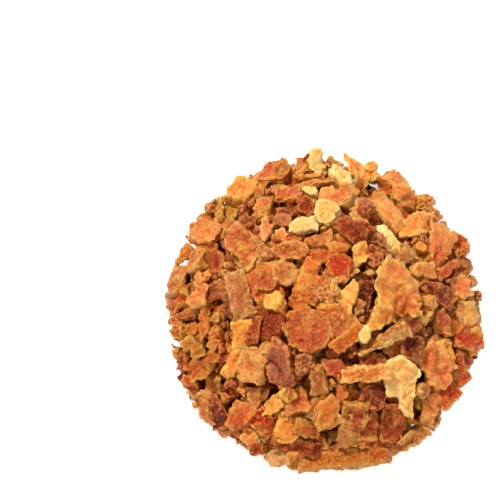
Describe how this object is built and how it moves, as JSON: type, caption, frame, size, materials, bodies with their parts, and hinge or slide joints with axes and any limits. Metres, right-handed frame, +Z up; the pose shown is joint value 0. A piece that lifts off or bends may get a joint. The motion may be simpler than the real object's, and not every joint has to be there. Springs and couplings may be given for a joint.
{
  "type": "dried orange peel heap",
  "caption": "Low round heap of dried, cut orange peel, lying as poured: curled rind chips, pale pith chunks, cut strips, thin membrane flakes and crumbs.",
  "frame": {"origin": "centre of the heap's footprint, on the surface that the heap lies on", "axes": "+Z up; +X across the heap to the right as it is seen, +Y away from the viewer"},
  "size_m": [0.076, 0.078, 0.02],
  "materials": {
    "dried_rind": "dry, matt to faintly waxy orange-brown rind with fine oil-gland pits",
    "dried_pith": "dry, spongy, matt golden to cream pith",
    "dried_membrane": "thin, crinkled, slightly translucent golden membrane",
    "packed_crumbs": "packed brown crumbs of peel in the gaps and under the chips"
  },
  "bodies": {
    "root": {"peel_heap": "dried_rind"}
  },
  "joints": []
}
